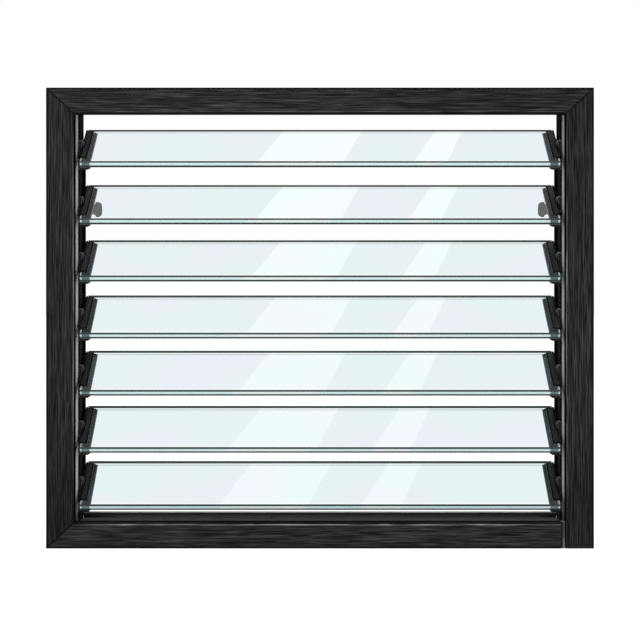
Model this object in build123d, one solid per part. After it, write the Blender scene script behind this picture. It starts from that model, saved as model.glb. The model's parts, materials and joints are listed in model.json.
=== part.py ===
"""Ventilator window: a fixed frame with seven glass louvre blades that tilt together.

Millimetres. X runs along the window's width, Y from its front (the weather side) to
its back, Z up. The origin is on the underside of the sill rail, at mid width and mid depth.

The blades are modelled half open, as the window is shown. Each glass blade is held at
both ends by a clip, which turns on a pin in the side channel. Two flat tie bars join
the crank pins of the clips, so that all the blades tilt as one.
"""

import os
from math import cos, radians, sin

from build123d import *

# Overall size of the frame.
FRAME_WIDTH = 850.0
FRAME_HEIGHT = 715.0
FRAME_DEPTH = 88.0

# Frame extrusion: a broad flange in front, a narrower hollow body behind it.
JAMB_FACE = 44.0
RAIL_FACE = 41.0
FLANGE_THICKNESS = 14.0
JAMB_REVEAL = 15.0
FRAME_WALL = 2.0
FRAME_WEB_DEPTH = 48.0
FLANGE_INNER_ROUND = 2.4
FLANGE_OUTER_ROUND = 1.0

# Screw holes through the jambs, behind the cover strips.
FIXING_HOLE_RADIUS = 3.25
FIXING_HOLE_FROM_END = 120.0

# The right jamb's open lower end is closed by a flat cap.
END_CAP_THICKNESS = 2.0

# The sill rail meets the right jamb in a butt joint, with a strip in the gap.
BUTT_GAP = 7.0
FILLER_SHADOW_GAP = 1.2
FILLER_SETBACK = 1.0
FILLER_NOSE_DEPTH = 2.5

# Side channels that carry the blades, and the cover strips in front of them. The
# channels end flush with the back of the sill tray.
CHANNEL_FRONT = 39.0
CHANNEL_THICKNESS = 2.0
COVER_THICKNESS = 1.5
COVER_LEG_THICKNESS = 1.2
COVER_CLEARANCE = 0.2

# Sill tray behind the flange, and the seal on its rear upstand.
TRAY_FRONT_HEIGHT = 32.5
TRAY_REAR_HEIGHT = 34.0
TRAY_THICKNESS = 2.0
TRAY_REAR_MARGIN = 2.0
UPSTAND_HEIGHT = 41.5
UPSTAND_END_CLEARANCE = 0.5
SEAL_RISE = 2.5
SEAL_LIP = 1.5
SEAL_GRIP = 2.5
SEAL_TOP_ROUND = 1.6

# Louvre blades. Their pivots are spaced evenly between the highest and the lowest.
BLADE_COUNT = 7
HIGHEST_PIVOT_DROP = 89.5
LOWEST_PIVOT_HEIGHT = 91.5
PIVOT_DEPTH = 49.0
BLADE_TILT = 54.0
GLASS_WIDTH = 102.0
GLASS_THICKNESS = 10.0
GLASS_ARRIS = 0.7
GLASS_END_CLEARANCE = 0.2

# Clips. Sizes across the blade are taken from the glass faces.
CLIP_SIDE_CLEARANCE = 5.0
CLIP_WALL = 2.5
CLIP_FRONT_LIP_WIDTH = 13.0
CLIP_FRONT_LIP_THICKNESS = 2.5
CLIP_FRONT_LIP_SETBACK = 11.0
CLIP_REAR_LIP_WIDTH = 17.5
CLIP_REAR_LIP_THICKNESS = 4.0
CLIP_REAR_LIP_TIP_THICKNESS = 2.5
CLIP_REAR_LIP_CHAMFER = 4.0
CLIP_OVERRUN = 2.0
CLIP_WALL_TOP_MARGIN = 4.5
CLIP_FRONT_TOP_MARGIN = 8.5
CLIP_REAR_TOP_MARGIN = 0.5
CLIP_CORNER_ROUND = 2.0
CLIP_FRONT_LIP_CHAMFER = 1.5

# Pivot hub and pin on the outside of each clip.
HUB_RADIUS = 13.0
HUB_END_CLEARANCE = 0.3
PIVOT_PIN_RADIUS = 4.0
PIVOT_RUNNING_CLEARANCE = 0.05
PIVOT_PIN_PROJECTION = 3.0

# Crank pins and tie bars. The crank lies level when the blade leans this far.
CRANK_RADIUS = 30.0
CRANK_LEVEL_TILT = 50.0
CRANK_PIN_RADIUS = 3.0
CRANK_EAR_RADIUS = 6.5
CRANK_HUB_RADIUS = 10.0
CRANK_PIN_PROJECTION = 0.6
TIE_BAR_WIDTH = 10.0
TIE_BAR_THICKNESS = 3.0
TIE_BAR_SIDE_GAP = 1.0
TIE_BAR_END = 8.0
TIE_BAR_CORNER_ROUND = 4.5
TIE_BAR_RUNNING_CLEARANCE = 0.05
TIE_BAR_LOOSE_CLEARANCE = 0.1

# Two knobs behind the second blade from the top.
KNOB_BLADE = 2
KNOB_RADIUS = 12.0
KNOB_HEAD_THICKNESS = 8.4
KNOB_DOME_DEPTH = 2.4
KNOB_DOME_INSET = 4.0
KNOB_STEM_RADIUS = 8.5
KNOB_NECK_RADIUS = 6.5
KNOB_NECK_WIDTH = 2.0
KNOB_STEM_LENGTH = 8.6
KNOB_BACK = 17.0
KNOB_DROP = 12.0
KNOB_BRACKET_INSET = 10.0
KNOB_BRACKET_THICKNESS = 4.0
KNOB_BRACKET_RADIUS = 9.5
KNOB_BRACKET_FOOT_ROUND = 1.0

# Planes that the pieces share, worked out from the sizes above.
HALF_WIDTH = FRAME_WIDTH / 2
FRONT_Y = -FRAME_DEPTH / 2
FLANGE_BACK_Y = FRONT_Y + FLANGE_THICKNESS
FLANGE_EDGE_X = HALF_WIDTH - JAMB_FACE
JAMB_BODY = JAMB_FACE - JAMB_REVEAL
BODY_EDGE_X = HALF_WIDTH - JAMB_BODY
RAIL_BODY = JAMB_BODY * RAIL_FACE / JAMB_FACE
SOFFIT_Z = FRAME_HEIGHT - RAIL_BODY
CHANNEL_FRONT_Y = FRONT_Y + CHANNEL_FRONT
FIXING_HOLE_Y = (FLANGE_BACK_Y + CHANNEL_FRONT_Y) / 2
TRAY_BACK_Y = FRONT_Y + FRAME_DEPTH - TRAY_REAR_MARGIN
CHANNEL_BACK_Y = TRAY_BACK_Y
PIVOT_Y = FRONT_Y + PIVOT_DEPTH
BLADE_PITCH = (FRAME_HEIGHT - HIGHEST_PIVOT_DROP - LOWEST_PIVOT_HEIGHT) / (BLADE_COUNT - 1)
SILL_END_X = FLANGE_EDGE_X - BUTT_GAP

CLIP_OUTER_X = FLANGE_EDGE_X - CLIP_SIDE_CLEARANCE
CLIP_WALL_INNER_X = CLIP_OUTER_X - CLIP_WALL
GLASS_END_X = CLIP_WALL_INNER_X - GLASS_END_CLEARANCE
HUB_FACE_X = FLANGE_EDGE_X - HUB_END_CLEARANCE
TIE_BAR_INNER_X = CLIP_OUTER_X + TIE_BAR_SIDE_GAP
TIE_BAR_OUTER_X = TIE_BAR_INNER_X + TIE_BAR_THICKNESS
KNOB_PLATE_X = CLIP_OUTER_X - KNOB_BRACKET_INSET

GLASS_FACE = GLASS_THICKNESS / 2
GLASS_EDGE = GLASS_WIDTH / 2
CLIP_FRONT_FACE = GLASS_FACE + CLIP_FRONT_LIP_THICKNESS
CLIP_REAR_FACE = GLASS_FACE + CLIP_REAR_LIP_THICKNESS
CLIP_REAR_TIP_FACE = GLASS_FACE + CLIP_REAR_LIP_TIP_THICKNESS
CLIP_WALL_TOP = GLASS_EDGE - CLIP_WALL_TOP_MARGIN
CLIP_FRONT_TOP = GLASS_EDGE - CLIP_FRONT_TOP_MARGIN
CLIP_REAR_TOP = GLASS_EDGE - CLIP_REAR_TOP_MARGIN

# Crank pin in the blade's own frame, where the blade stands upright.
CRANK_PIN_Y = CRANK_RADIUS * sin(radians(90.0 - CRANK_LEVEL_TILT))
CRANK_PIN_Z = CRANK_RADIUS * cos(radians(90.0 - CRANK_LEVEL_TILT))

LEFT, RIGHT = -1, 1
SIDES = {"left": LEFT, "right": RIGHT}


def pivot_height(blade):
    """Height of a blade's pivot; blade 1 is the top one."""
    return LOWEST_PIVOT_HEIGHT + BLADE_PITCH * (BLADE_COUNT - blade)


def on_blade(blade, shape):
    """Put a shape made on an upright blade at its pivot, leaning as the blade leans."""
    return Pos(0, PIVOT_Y, pivot_height(blade)) * Rot(-BLADE_TILT, 0, 0) * shape


def in_blade_frame(back, drop):
    """Turn a distance behind and below the pivot into the upright blade's Y and Z."""
    lean = radians(BLADE_TILT)
    return (
        back * cos(lean) + drop * sin(lean),
        back * sin(lean) - drop * cos(lean),
    )


def on_side(side, shape):
    """Keep a shape made for the right-hand side, or mirror it to the left."""
    return shape if side == RIGHT else mirror(shape, about=Plane.YZ)


def block(x_range, y_range, z_range):
    """A box between two values on each axis."""
    lows = (min(x_range), min(y_range), min(z_range))
    sizes = (
        max(x_range) - lows[0],
        max(y_range) - lows[1],
        max(z_range) - lows[2],
    )
    return Pos(*lows) * Box(*sizes, align=(Align.MIN, Align.MIN, Align.MIN))


def slice_across(sketch, x_from, x_to):
    """Extrude a sketch drawn in Y and Z from one X to another."""
    return extrude(Plane.YZ.offset(x_from) * sketch, amount=x_to - x_from)


def cylinder_across(radius, x_from, x_to, y=0.0, z=0.0):
    """A round pin or bore along X."""
    return slice_across(Pos(y, z) * Circle(radius), x_from, x_to)


def sum_edges(sketches):
    """All edges of several sketches in one list."""
    return [edge for sketch in sketches for edge in sketch.edges()]


def frame_outline(face, body):
    """Outer line of the frame extrusion: first axis inwards, second towards the back."""
    outline = make_face(
        Polyline(
            (0, 0),
            (face, 0),
            (face, FLANGE_THICKNESS),
            (body, FLANGE_THICKNESS),
            (body, FRAME_DEPTH),
            (0, FRAME_DEPTH),
            close=True,
        )
    )
    front_outer = outline.vertices().sort_by_distance((0, 0))[0]
    outline = fillet(front_outer, FLANGE_OUTER_ROUND)
    front_inner = outline.vertices().sort_by_distance((face, 0))[0]
    return fillet(front_inner, FLANGE_INNER_ROUND)


def frame_profile(face, body):
    """Section of the hollow frame extrusion, with one chamber in front and two behind."""
    outline = frame_outline(face, body)
    chamber_edges = [FLANGE_THICKNESS - FRAME_WALL, FRAME_WEB_DEPTH, FRAME_DEPTH - FRAME_WALL]
    chamber_widths = [face, body, body]
    front = FRAME_WALL
    for back, width in zip(chamber_edges, chamber_widths):
        chamber = Rectangle(
            width - 2 * FRAME_WALL, back - front, align=(Align.MIN, Align.MIN)
        )
        outline -= Pos(FRAME_WALL, front) * chamber
        front = back + FRAME_WALL
    return outline


def mitre_keep(x_side, top):
    """Wedge that holds the jamb's share of a mitred corner, up to the mitre line."""
    corner_z, inward = (FRAME_HEIGHT, -1) if top else (0.0, 1)
    corner_x = x_side * HALF_WIDTH
    # The mitre line runs on to twice the faces' widths, past the members' inner edges.
    far_x = x_side * (HALF_WIDTH - 2 * JAMB_FACE)
    far_z = corner_z + inward * 2 * RAIL_FACE
    outer_z = corner_z - inward * RAIL_FACE
    wedge = Polyline(
        (corner_x, corner_z), (far_x, far_z), (far_x, outer_z), (corner_x, outer_z), close=True
    )
    sketch = Plane.XZ.offset(-FRAME_DEPTH) * make_face(wedge)
    return extrude(sketch, amount=2 * FRAME_DEPTH)


def jamb_blank(profile, foot, top):
    """Left-hand upright of a given section between two heights, before it is cut."""
    section = Plane.XY.offset(foot) * (Pos(-HALF_WIDTH, FRONT_Y) * profile)
    return extrude(section, amount=top - foot)


def make_jamb(side):
    """Upright of the frame. The right one runs down past the end of the sill rail."""
    foot = END_CAP_THICKNESS if side == RIGHT else 0.0
    jamb = jamb_blank(frame_profile(JAMB_FACE, JAMB_BODY), foot, FRAME_HEIGHT)
    for height in (FIXING_HOLE_FROM_END, FRAME_HEIGHT - FIXING_HOLE_FROM_END):
        jamb -= cylinder_across(
            FIXING_HOLE_RADIUS, -HALF_WIDTH, -BODY_EDGE_X, FIXING_HOLE_Y, height
        )
    if side == RIGHT:
        jamb = mirror(jamb, about=Plane.YZ)
    jamb -= mitre_keep(side, top=True)
    if side == LEFT:
        jamb -= mitre_keep(side, top=False)
    return jamb


def make_jamb_end_cap():
    """Flat cap that closes the hollow lower end of the right jamb."""
    outline = frame_outline(JAMB_FACE, JAMB_BODY)
    return mirror(jamb_blank(outline, 0.0, END_CAP_THICKNESS), about=Plane.YZ)


def rail_blank():
    """Full-length sill rail before its ends are cut."""
    plane = Plane(origin=(-HALF_WIDTH, FRONT_Y, 0), x_dir=(0, 0, 1), z_dir=(-1, 0, 0))
    section = plane * frame_profile(RAIL_FACE, RAIL_BODY)
    return extrude(section, amount=-FRAME_WIDTH)


def make_head_rail():
    """Top of the frame, mitred at both ends."""
    rail = mirror(rail_blank(), about=Plane.XY.offset(FRAME_HEIGHT / 2))
    for side in (LEFT, RIGHT):
        rail &= mitre_keep(side, top=True) + block(
            (-HALF_WIDTH + JAMB_FACE, HALF_WIDTH - JAMB_FACE),
            (FRONT_Y, FRONT_Y + FRAME_DEPTH),
            (FRAME_HEIGHT - RAIL_FACE, FRAME_HEIGHT),
        ) + mitre_keep(-side, top=True)
    return rail


def make_sill_rail():
    """Bottom of the frame, mitred at the left and cut square at the right."""
    back_y = FRONT_Y + FRAME_DEPTH
    rail = rail_blank()
    rail &= mitre_keep(LEFT, top=False) + block(
        (-FLANGE_EDGE_X, HALF_WIDTH), (FRONT_Y, back_y), (0, RAIL_FACE)
    )
    rail -= block((BODY_EDGE_X, HALF_WIDTH), (FRONT_Y, back_y), (0, RAIL_FACE))
    rail -= block((SILL_END_X, HALF_WIDTH), (FRONT_Y, FLANGE_BACK_Y), (0, RAIL_FACE))
    return rail


def make_corner_filler():
    """Strip in the gap between the cut end of the sill rail and the right jamb."""
    nose_front = FRONT_Y + FILLER_SETBACK
    nose_back = nose_front + FILLER_NOSE_DEPTH
    root = block((SILL_END_X, FLANGE_EDGE_X), (nose_back, FLANGE_BACK_Y), (0, RAIL_FACE))
    nose = block(
        (SILL_END_X + FILLER_SHADOW_GAP, FLANGE_EDGE_X - FILLER_SHADOW_GAP),
        (nose_front, nose_back),
        (0, RAIL_FACE),
    )
    return root + nose


def tray_height(y):
    """Height of the tray's upper face, which falls from the back to the front."""
    slope = (TRAY_REAR_HEIGHT - TRAY_FRONT_HEIGHT) / (TRAY_BACK_Y - FLANGE_BACK_Y)
    return TRAY_FRONT_HEIGHT + slope * (y - FLANGE_BACK_Y)


def make_sill_tray():
    """Tray that falls to the front, on three feet, with an upstand along its back."""
    top = [(FLANGE_BACK_Y, TRAY_FRONT_HEIGHT), (TRAY_BACK_Y, TRAY_REAR_HEIGHT)]
    under = [(y, z - TRAY_THICKNESS) for y, z in reversed(top)]
    profile = make_face(Polyline(*top, *under, close=True))
    for foot_y in (FLANGE_BACK_Y, CHANNEL_FRONT_Y, TRAY_BACK_Y - TRAY_THICKNESS):
        foot_top = tray_height(foot_y) - TRAY_THICKNESS / 2
        foot = Rectangle(TRAY_THICKNESS, foot_top - RAIL_BODY, align=(Align.MIN, Align.MIN))
        profile += Pos(foot_y, RAIL_BODY) * foot
    tray = slice_across(profile, -BODY_EDGE_X, BODY_EDGE_X)
    upstand_x = FLANGE_EDGE_X - UPSTAND_END_CLEARANCE
    upstand = block(
        (-upstand_x, upstand_x),
        (TRAY_BACK_Y - TRAY_THICKNESS, TRAY_BACK_Y),
        (TRAY_FRONT_HEIGHT, UPSTAND_HEIGHT),
    )
    return tray + upstand


def make_sill_seal():
    """Rubber strip that grips the tray's upstand, with a rounded top."""
    width = TRAY_THICKNESS + 2 * SEAL_LIP
    middle_y = TRAY_BACK_Y - TRAY_THICKNESS / 2
    outline = Rectangle(width, SEAL_GRIP + SEAL_RISE, align=(Align.CENTER, Align.MIN))
    top_corners = outline.vertices().group_by(Axis.Y)[-1]
    outline = fillet(top_corners, SEAL_TOP_ROUND)
    slot = Rectangle(TRAY_THICKNESS, SEAL_GRIP, align=(Align.CENTER, Align.MIN))
    profile = Pos(middle_y, UPSTAND_HEIGHT - SEAL_GRIP) * (outline - slot)
    end_x = FLANGE_EDGE_X - UPSTAND_END_CLEARANCE
    return slice_across(profile, -end_x, end_x)


def make_channel():
    """Side channel of the right-hand side, with a bore for each pivot pin."""
    web_back_x = FLANGE_EDGE_X + CHANNEL_THICKNESS
    height = (TRAY_REAR_HEIGHT, SOFFIT_Z)
    channel = block((FLANGE_EDGE_X, BODY_EDGE_X), (CHANNEL_FRONT_Y, CHANNEL_BACK_Y), height)
    channel -= block(
        (web_back_x, BODY_EDGE_X),
        (CHANNEL_FRONT_Y + CHANNEL_THICKNESS, CHANNEL_BACK_Y - CHANNEL_THICKNESS),
        height,
    )
    for blade in range(1, BLADE_COUNT + 1):
        channel -= cylinder_across(
            PIVOT_PIN_RADIUS + PIVOT_RUNNING_CLEARANCE,
            FLANGE_EDGE_X,
            web_back_x,
            PIVOT_Y,
            pivot_height(blade),
        )
    return channel


def make_cover():
    """Cover strip of the right-hand side, clipped in between flange and channel."""
    front_y = FLANGE_BACK_Y
    back_y = CHANNEL_FRONT_Y - COVER_CLEARANCE
    height = (TRAY_REAR_HEIGHT, SOFFIT_Z)
    cover = block((FLANGE_EDGE_X, BODY_EDGE_X), (front_y, back_y), height)
    cover -= block(
        (FLANGE_EDGE_X + COVER_THICKNESS, BODY_EDGE_X),
        (front_y + COVER_LEG_THICKNESS, back_y - COVER_LEG_THICKNESS),
        height,
    )
    return cover


def make_glass():
    """One glass blade, upright, with its long edges ground."""
    glass = Box(2 * GLASS_END_X, GLASS_THICKNESS, GLASS_WIDTH)
    long_edges = glass.edges().filter_by(Axis.X)
    return chamfer(long_edges, GLASS_ARRIS)


def clip_wall_outline():
    """Outline of the clip's end wall in Y and Z: round nose, deep middle, square top."""
    nose_radius = (CLIP_FRONT_FACE + CLIP_REAR_FACE) / 2
    nose_y = CLIP_REAR_FACE - nose_radius
    nose_z = nose_radius - GLASS_EDGE - CLIP_OVERRUN
    corner_z = CLIP_WALL_TOP - CLIP_CORNER_ROUND
    rounds = [
        Pos(nose_y, nose_z) * Circle(nose_radius),
        Pos(-CLIP_FRONT_FACE + CLIP_CORNER_ROUND, corner_z) * Circle(CLIP_CORNER_ROUND),
        Pos(CLIP_REAR_TIP_FACE - CLIP_CORNER_ROUND, corner_z) * Circle(CLIP_CORNER_ROUND),
        Circle(HUB_RADIUS),
    ]
    outline = make_hull(sum_edges(rounds))
    front_cut = Rectangle(
        4 * HUB_RADIUS, 3 * GLASS_WIDTH, align=(Align.MAX, Align.CENTER)
    )
    return outline - Pos(-CLIP_FRONT_FACE, 0) * front_cut


def make_clip():
    """Clip of the right-hand side, upright, with its hub, pins and crank ear."""
    wall = slice_across(clip_wall_outline(), CLIP_WALL_INNER_X, CLIP_OUTER_X)

    front_lip = block(
        (CLIP_OUTER_X - CLIP_FRONT_LIP_WIDTH, CLIP_OUTER_X),
        (-CLIP_FRONT_FACE, -GLASS_FACE),
        (-GLASS_EDGE + CLIP_FRONT_LIP_SETBACK, CLIP_FRONT_TOP),
    )
    lip_corner = front_lip.edges().filter_by(Axis.Y).group_by(Axis.X)[0]
    front_lip = chamfer(lip_corner, CLIP_FRONT_LIP_CHAMFER)

    rear_profile = make_face(
        Polyline(
            (GLASS_FACE, CLIP_REAR_TOP),
            (CLIP_REAR_TIP_FACE, CLIP_REAR_TOP),
            (CLIP_REAR_FACE, 0),
            (CLIP_REAR_FACE, -GLASS_EDGE),
            (GLASS_FACE, -GLASS_EDGE),
            close=True,
        )
    )
    rear_inner_x = CLIP_OUTER_X - CLIP_REAR_LIP_WIDTH
    rear_lip = slice_across(rear_profile, rear_inner_x, CLIP_OUTER_X)
    tip_corner = rear_lip.edges().filter_by(Axis.Y).group_by(Axis.X)[0]
    rear_lip = chamfer(tip_corner, CLIP_REAR_LIP_CHAMFER)

    hub = cylinder_across(HUB_RADIUS, CLIP_OUTER_X, HUB_FACE_X)
    pin_end_x = FLANGE_EDGE_X + CHANNEL_THICKNESS + PIVOT_PIN_PROJECTION
    pivot_pin = cylinder_across(PIVOT_PIN_RADIUS, HUB_FACE_X, pin_end_x)

    ear_rounds = [
        Circle(CRANK_HUB_RADIUS),
        Pos(CRANK_PIN_Y, CRANK_PIN_Z) * Circle(CRANK_EAR_RADIUS),
    ]
    ear = slice_across(make_hull(sum_edges(ear_rounds)), CLIP_WALL_INNER_X, CLIP_OUTER_X)
    crank_pin = cylinder_across(
        CRANK_PIN_RADIUS,
        CLIP_OUTER_X,
        TIE_BAR_OUTER_X + CRANK_PIN_PROJECTION,
        CRANK_PIN_Y,
        CRANK_PIN_Z,
    )
    clip = wall + ear + hub + pivot_pin + crank_pin + rear_lip + front_lip
    glass_space = block(
        (0, GLASS_END_X), (-GLASS_FACE, GLASS_FACE), (-GLASS_WIDTH, GLASS_WIDTH)
    )
    clip -= glass_space
    return clip


def knob_place():
    """Y and Z of the knob's centre on the upright blade."""
    return in_blade_frame(KNOB_BACK, KNOB_DROP)


def make_knob_bracket():
    """Plate behind the glass that carries the knob, on the inner part of the clip."""
    y, z = knob_place()
    foot_y = (GLASS_FACE + CLIP_REAR_FACE) / 2
    rounds = [
        Pos(y, z) * Circle(KNOB_BRACKET_RADIUS),
        Pos(foot_y, z + KNOB_BRACKET_RADIUS) * Circle(KNOB_BRACKET_FOOT_ROUND),
        Pos(foot_y, z - 2 * KNOB_BRACKET_RADIUS) * Circle(KNOB_BRACKET_FOOT_ROUND),
    ]
    outline = make_hull(sum_edges(rounds))
    return slice_across(outline, KNOB_PLATE_X, KNOB_PLATE_X + KNOB_BRACKET_THICKNESS)


def make_knob():
    """Mushroom knob of the right-hand side, turned about an axis along X."""
    y, z = knob_place()
    head_back_x = KNOB_PLATE_X - KNOB_STEM_LENGTH
    face_x = head_back_x - KNOB_HEAD_THICKNESS
    neck_x = head_back_x + (KNOB_STEM_LENGTH - KNOB_NECK_WIDTH) / 2
    head = cylinder_across(KNOB_RADIUS, face_x, head_back_x, y, z)
    face = head.faces().sort_by(Axis.X)[0]
    face_edge = head.edges().group_by(Axis.X)[0]
    head = chamfer(face_edge, KNOB_DOME_DEPTH, KNOB_DOME_INSET, reference=face)
    stem = cylinder_across(KNOB_STEM_RADIUS, head_back_x, KNOB_PLATE_X, y, z)
    neck = cylinder_across(KNOB_STEM_RADIUS, neck_x, neck_x + KNOB_NECK_WIDTH, y, z)
    neck -= cylinder_across(KNOB_NECK_RADIUS, neck_x, neck_x + KNOB_NECK_WIDTH, y, z)
    return head + stem - neck


def make_tie_bar():
    """Flat bar of the right-hand side that joins the crank pins of all the clips."""
    lean = radians(BLADE_TILT)
    pin_y = PIVOT_Y + CRANK_PIN_Y * cos(lean) + CRANK_PIN_Z * sin(lean)
    pin_rise = -CRANK_PIN_Y * sin(lean) + CRANK_PIN_Z * cos(lean)
    heights = [pivot_height(blade) + pin_rise for blade in range(1, BLADE_COUNT + 1)]
    bar = block(
        (TIE_BAR_INNER_X, TIE_BAR_OUTER_X),
        (pin_y - TIE_BAR_WIDTH / 2, pin_y + TIE_BAR_WIDTH / 2),
        (heights[-1] - TIE_BAR_END, heights[0] + TIE_BAR_END),
    )
    corners = bar.edges().filter_by(Axis.X)
    bar = fillet(corners, TIE_BAR_CORNER_ROUND)
    for blade, height in enumerate(heights, start=1):
        clearance = TIE_BAR_RUNNING_CLEARANCE if blade == KNOB_BLADE else TIE_BAR_LOOSE_CLEARANCE
        bar -= cylinder_across(
            CRANK_PIN_RADIUS + clearance, TIE_BAR_INNER_X, TIE_BAR_OUTER_X, pin_y, height
        )
    return bar


def make_parts():
    """Every sub-part of the window, by node name."""
    parts = {
        "head_rail": make_head_rail(),
        "sill_rail": make_sill_rail(),
        "corner_filler": make_corner_filler(),
        "jamb_end_cap": make_jamb_end_cap(),
        "sill_tray": make_sill_tray(),
        "sill_seal": make_sill_seal(),
    }
    for name, side in SIDES.items():
        parts[f"{name}_jamb"] = make_jamb(side)
        parts[f"{name}_channel"] = on_side(side, make_channel())
        parts[f"{name}_cover_strip"] = on_side(side, make_cover())
        parts[f"{name}_tie_bar"] = on_side(side, make_tie_bar())
        parts[f"{name}_knob"] = on_side(side, on_blade(KNOB_BLADE, make_knob()))
    glass = make_glass()
    clip = make_clip()
    knob_clip = clip + make_knob_bracket()
    for blade in range(1, BLADE_COUNT + 1):
        parts[f"blade_{blade}_glass"] = on_blade(blade, glass)
        right_clip = on_blade(blade, knob_clip if blade == KNOB_BLADE else clip)
        for name, side in SIDES.items():
            parts[f"blade_{blade}_{name}_clip"] = on_side(side, right_clip)
    return parts


os.makedirs("parts", exist_ok=True)
for node, shape in make_parts().items():
    export_step(shape, f"parts/{node}.step")
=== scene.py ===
"""Looks of the louvre ventilator window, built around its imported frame.

Metres. X runs along the width, Y from the front (weather side) to the back, Z up.
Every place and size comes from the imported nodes, from the values named below or from
the fields of the classes.
"""

import json
import logging
import math
from dataclasses import dataclass
from enum import Enum
from typing import Callable, Iterable

import bpy
from mathutils import Matrix, Vector

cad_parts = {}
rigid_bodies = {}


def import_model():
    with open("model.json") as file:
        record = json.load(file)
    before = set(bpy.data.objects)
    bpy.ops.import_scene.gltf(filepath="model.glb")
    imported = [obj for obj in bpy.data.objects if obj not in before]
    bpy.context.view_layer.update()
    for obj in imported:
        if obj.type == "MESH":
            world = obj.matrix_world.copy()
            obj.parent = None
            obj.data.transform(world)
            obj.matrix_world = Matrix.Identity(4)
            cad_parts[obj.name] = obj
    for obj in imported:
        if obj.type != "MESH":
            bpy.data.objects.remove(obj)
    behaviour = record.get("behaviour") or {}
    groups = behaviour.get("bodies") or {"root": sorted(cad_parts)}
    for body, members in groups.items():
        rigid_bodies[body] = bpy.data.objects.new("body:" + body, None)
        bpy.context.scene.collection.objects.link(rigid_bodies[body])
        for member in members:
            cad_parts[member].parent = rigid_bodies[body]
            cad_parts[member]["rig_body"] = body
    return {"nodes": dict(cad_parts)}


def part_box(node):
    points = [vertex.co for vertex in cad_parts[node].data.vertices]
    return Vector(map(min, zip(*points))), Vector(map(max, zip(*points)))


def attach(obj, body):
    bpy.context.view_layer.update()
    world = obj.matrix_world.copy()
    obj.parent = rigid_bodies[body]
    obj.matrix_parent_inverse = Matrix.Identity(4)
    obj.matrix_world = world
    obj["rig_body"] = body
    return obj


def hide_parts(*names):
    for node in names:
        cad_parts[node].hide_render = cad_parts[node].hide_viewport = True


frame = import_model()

Colour = tuple[float, float, float]
Point = tuple[float, float, float]
Pair = tuple[float, float]
Stops = tuple[Pair, ...]
Socket = bpy.types.NodeSocket
Value = Socket | float | Colour

MM = 0.001
BLADES = tuple(range(1, 8))
# How far the blades lean back from upright at rest.
TILT = math.radians(54.0)
WELD_DISTANCE = 0.002 * MM
FLAT_ANGLE = math.radians(1.0)
SHARP_ANGLE = math.radians(30.0)
# Smallest share of a normal that counts as facing an axis, and as facing between two.
FACING = 0.9
SLANTED = 0.5
WHITE: Colour = (1.0, 1.0, 1.0)
log = logging.getLogger("ventilator_window")


# Patterns and shades


class Axis(Enum):
    """An axis of the window."""

    X = 0
    Y = 1
    Z = 2


class Side(Enum):
    """A side of the window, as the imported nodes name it."""

    LEFT = "left"
    RIGHT = "right"


class Ray(Enum):
    """A kind of ray that a surface tells apart."""

    CAMERA = "Is Camera Ray"
    TRANSMISSION = "Is Transmission Ray"


class Band(Enum):
    """The finishes of a glass blade, in the order of its material slots."""

    GLASS = 0
    # Untinted glass: painted highlights.
    CLEAR = 1
    # A darker line painted as shade.
    PALE = 2
    GROUND = 3
    # The ground edge painted darker as shade over the clips.
    GROUND_END = 4
    # Dark bands painted as shade along the arrises.
    ARRIS = 5
    OVER_CLIP = 6


@dataclass(frozen=True)
class Pattern:
    """Noise with its own fineness on each axis.

    The scale counts pattern units per metre on X, Y and Z.
    """

    scale: Point
    octaves: float
    distortion: float = 0.0


@dataclass(frozen=True)
class Grain:
    """Noise drawn out along one axis, in pattern units per metre."""

    lengthwise: float
    across: float
    octaves: float

    def along(self, axis: Axis) -> Pattern:
        """The grain as a pattern that runs along an axis.

        Args:
            axis: the axis.

        Returns:
            The pattern.
        """
        scale = [self.across] * 3
        scale[axis.value] = self.lengthwise
        return Pattern(tuple(scale), self.octaves)


@dataclass(frozen=True)
class Shade:
    """A painted shade: a level that changes along an axis and darkens a colour.

    Each stop has a coordinate in metres and a level, from low to high. A mirrored
    shade treats both sides of zero alike.
    """

    axis: Axis
    stops: Stops
    mirrored: bool = False


def from_edges(*edges: tuple[float, Stops]) -> Stops:
    """Turn stops that are measured from the edges of a piece into coordinates.

    Args:
        edges: each edge's coordinate, and its stops in millimetres from there.

    Returns:
        The stops in metres.
    """
    return tuple((edge + at * MM, level) for edge, stops in edges for at, level in stops)


# Node trees


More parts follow.
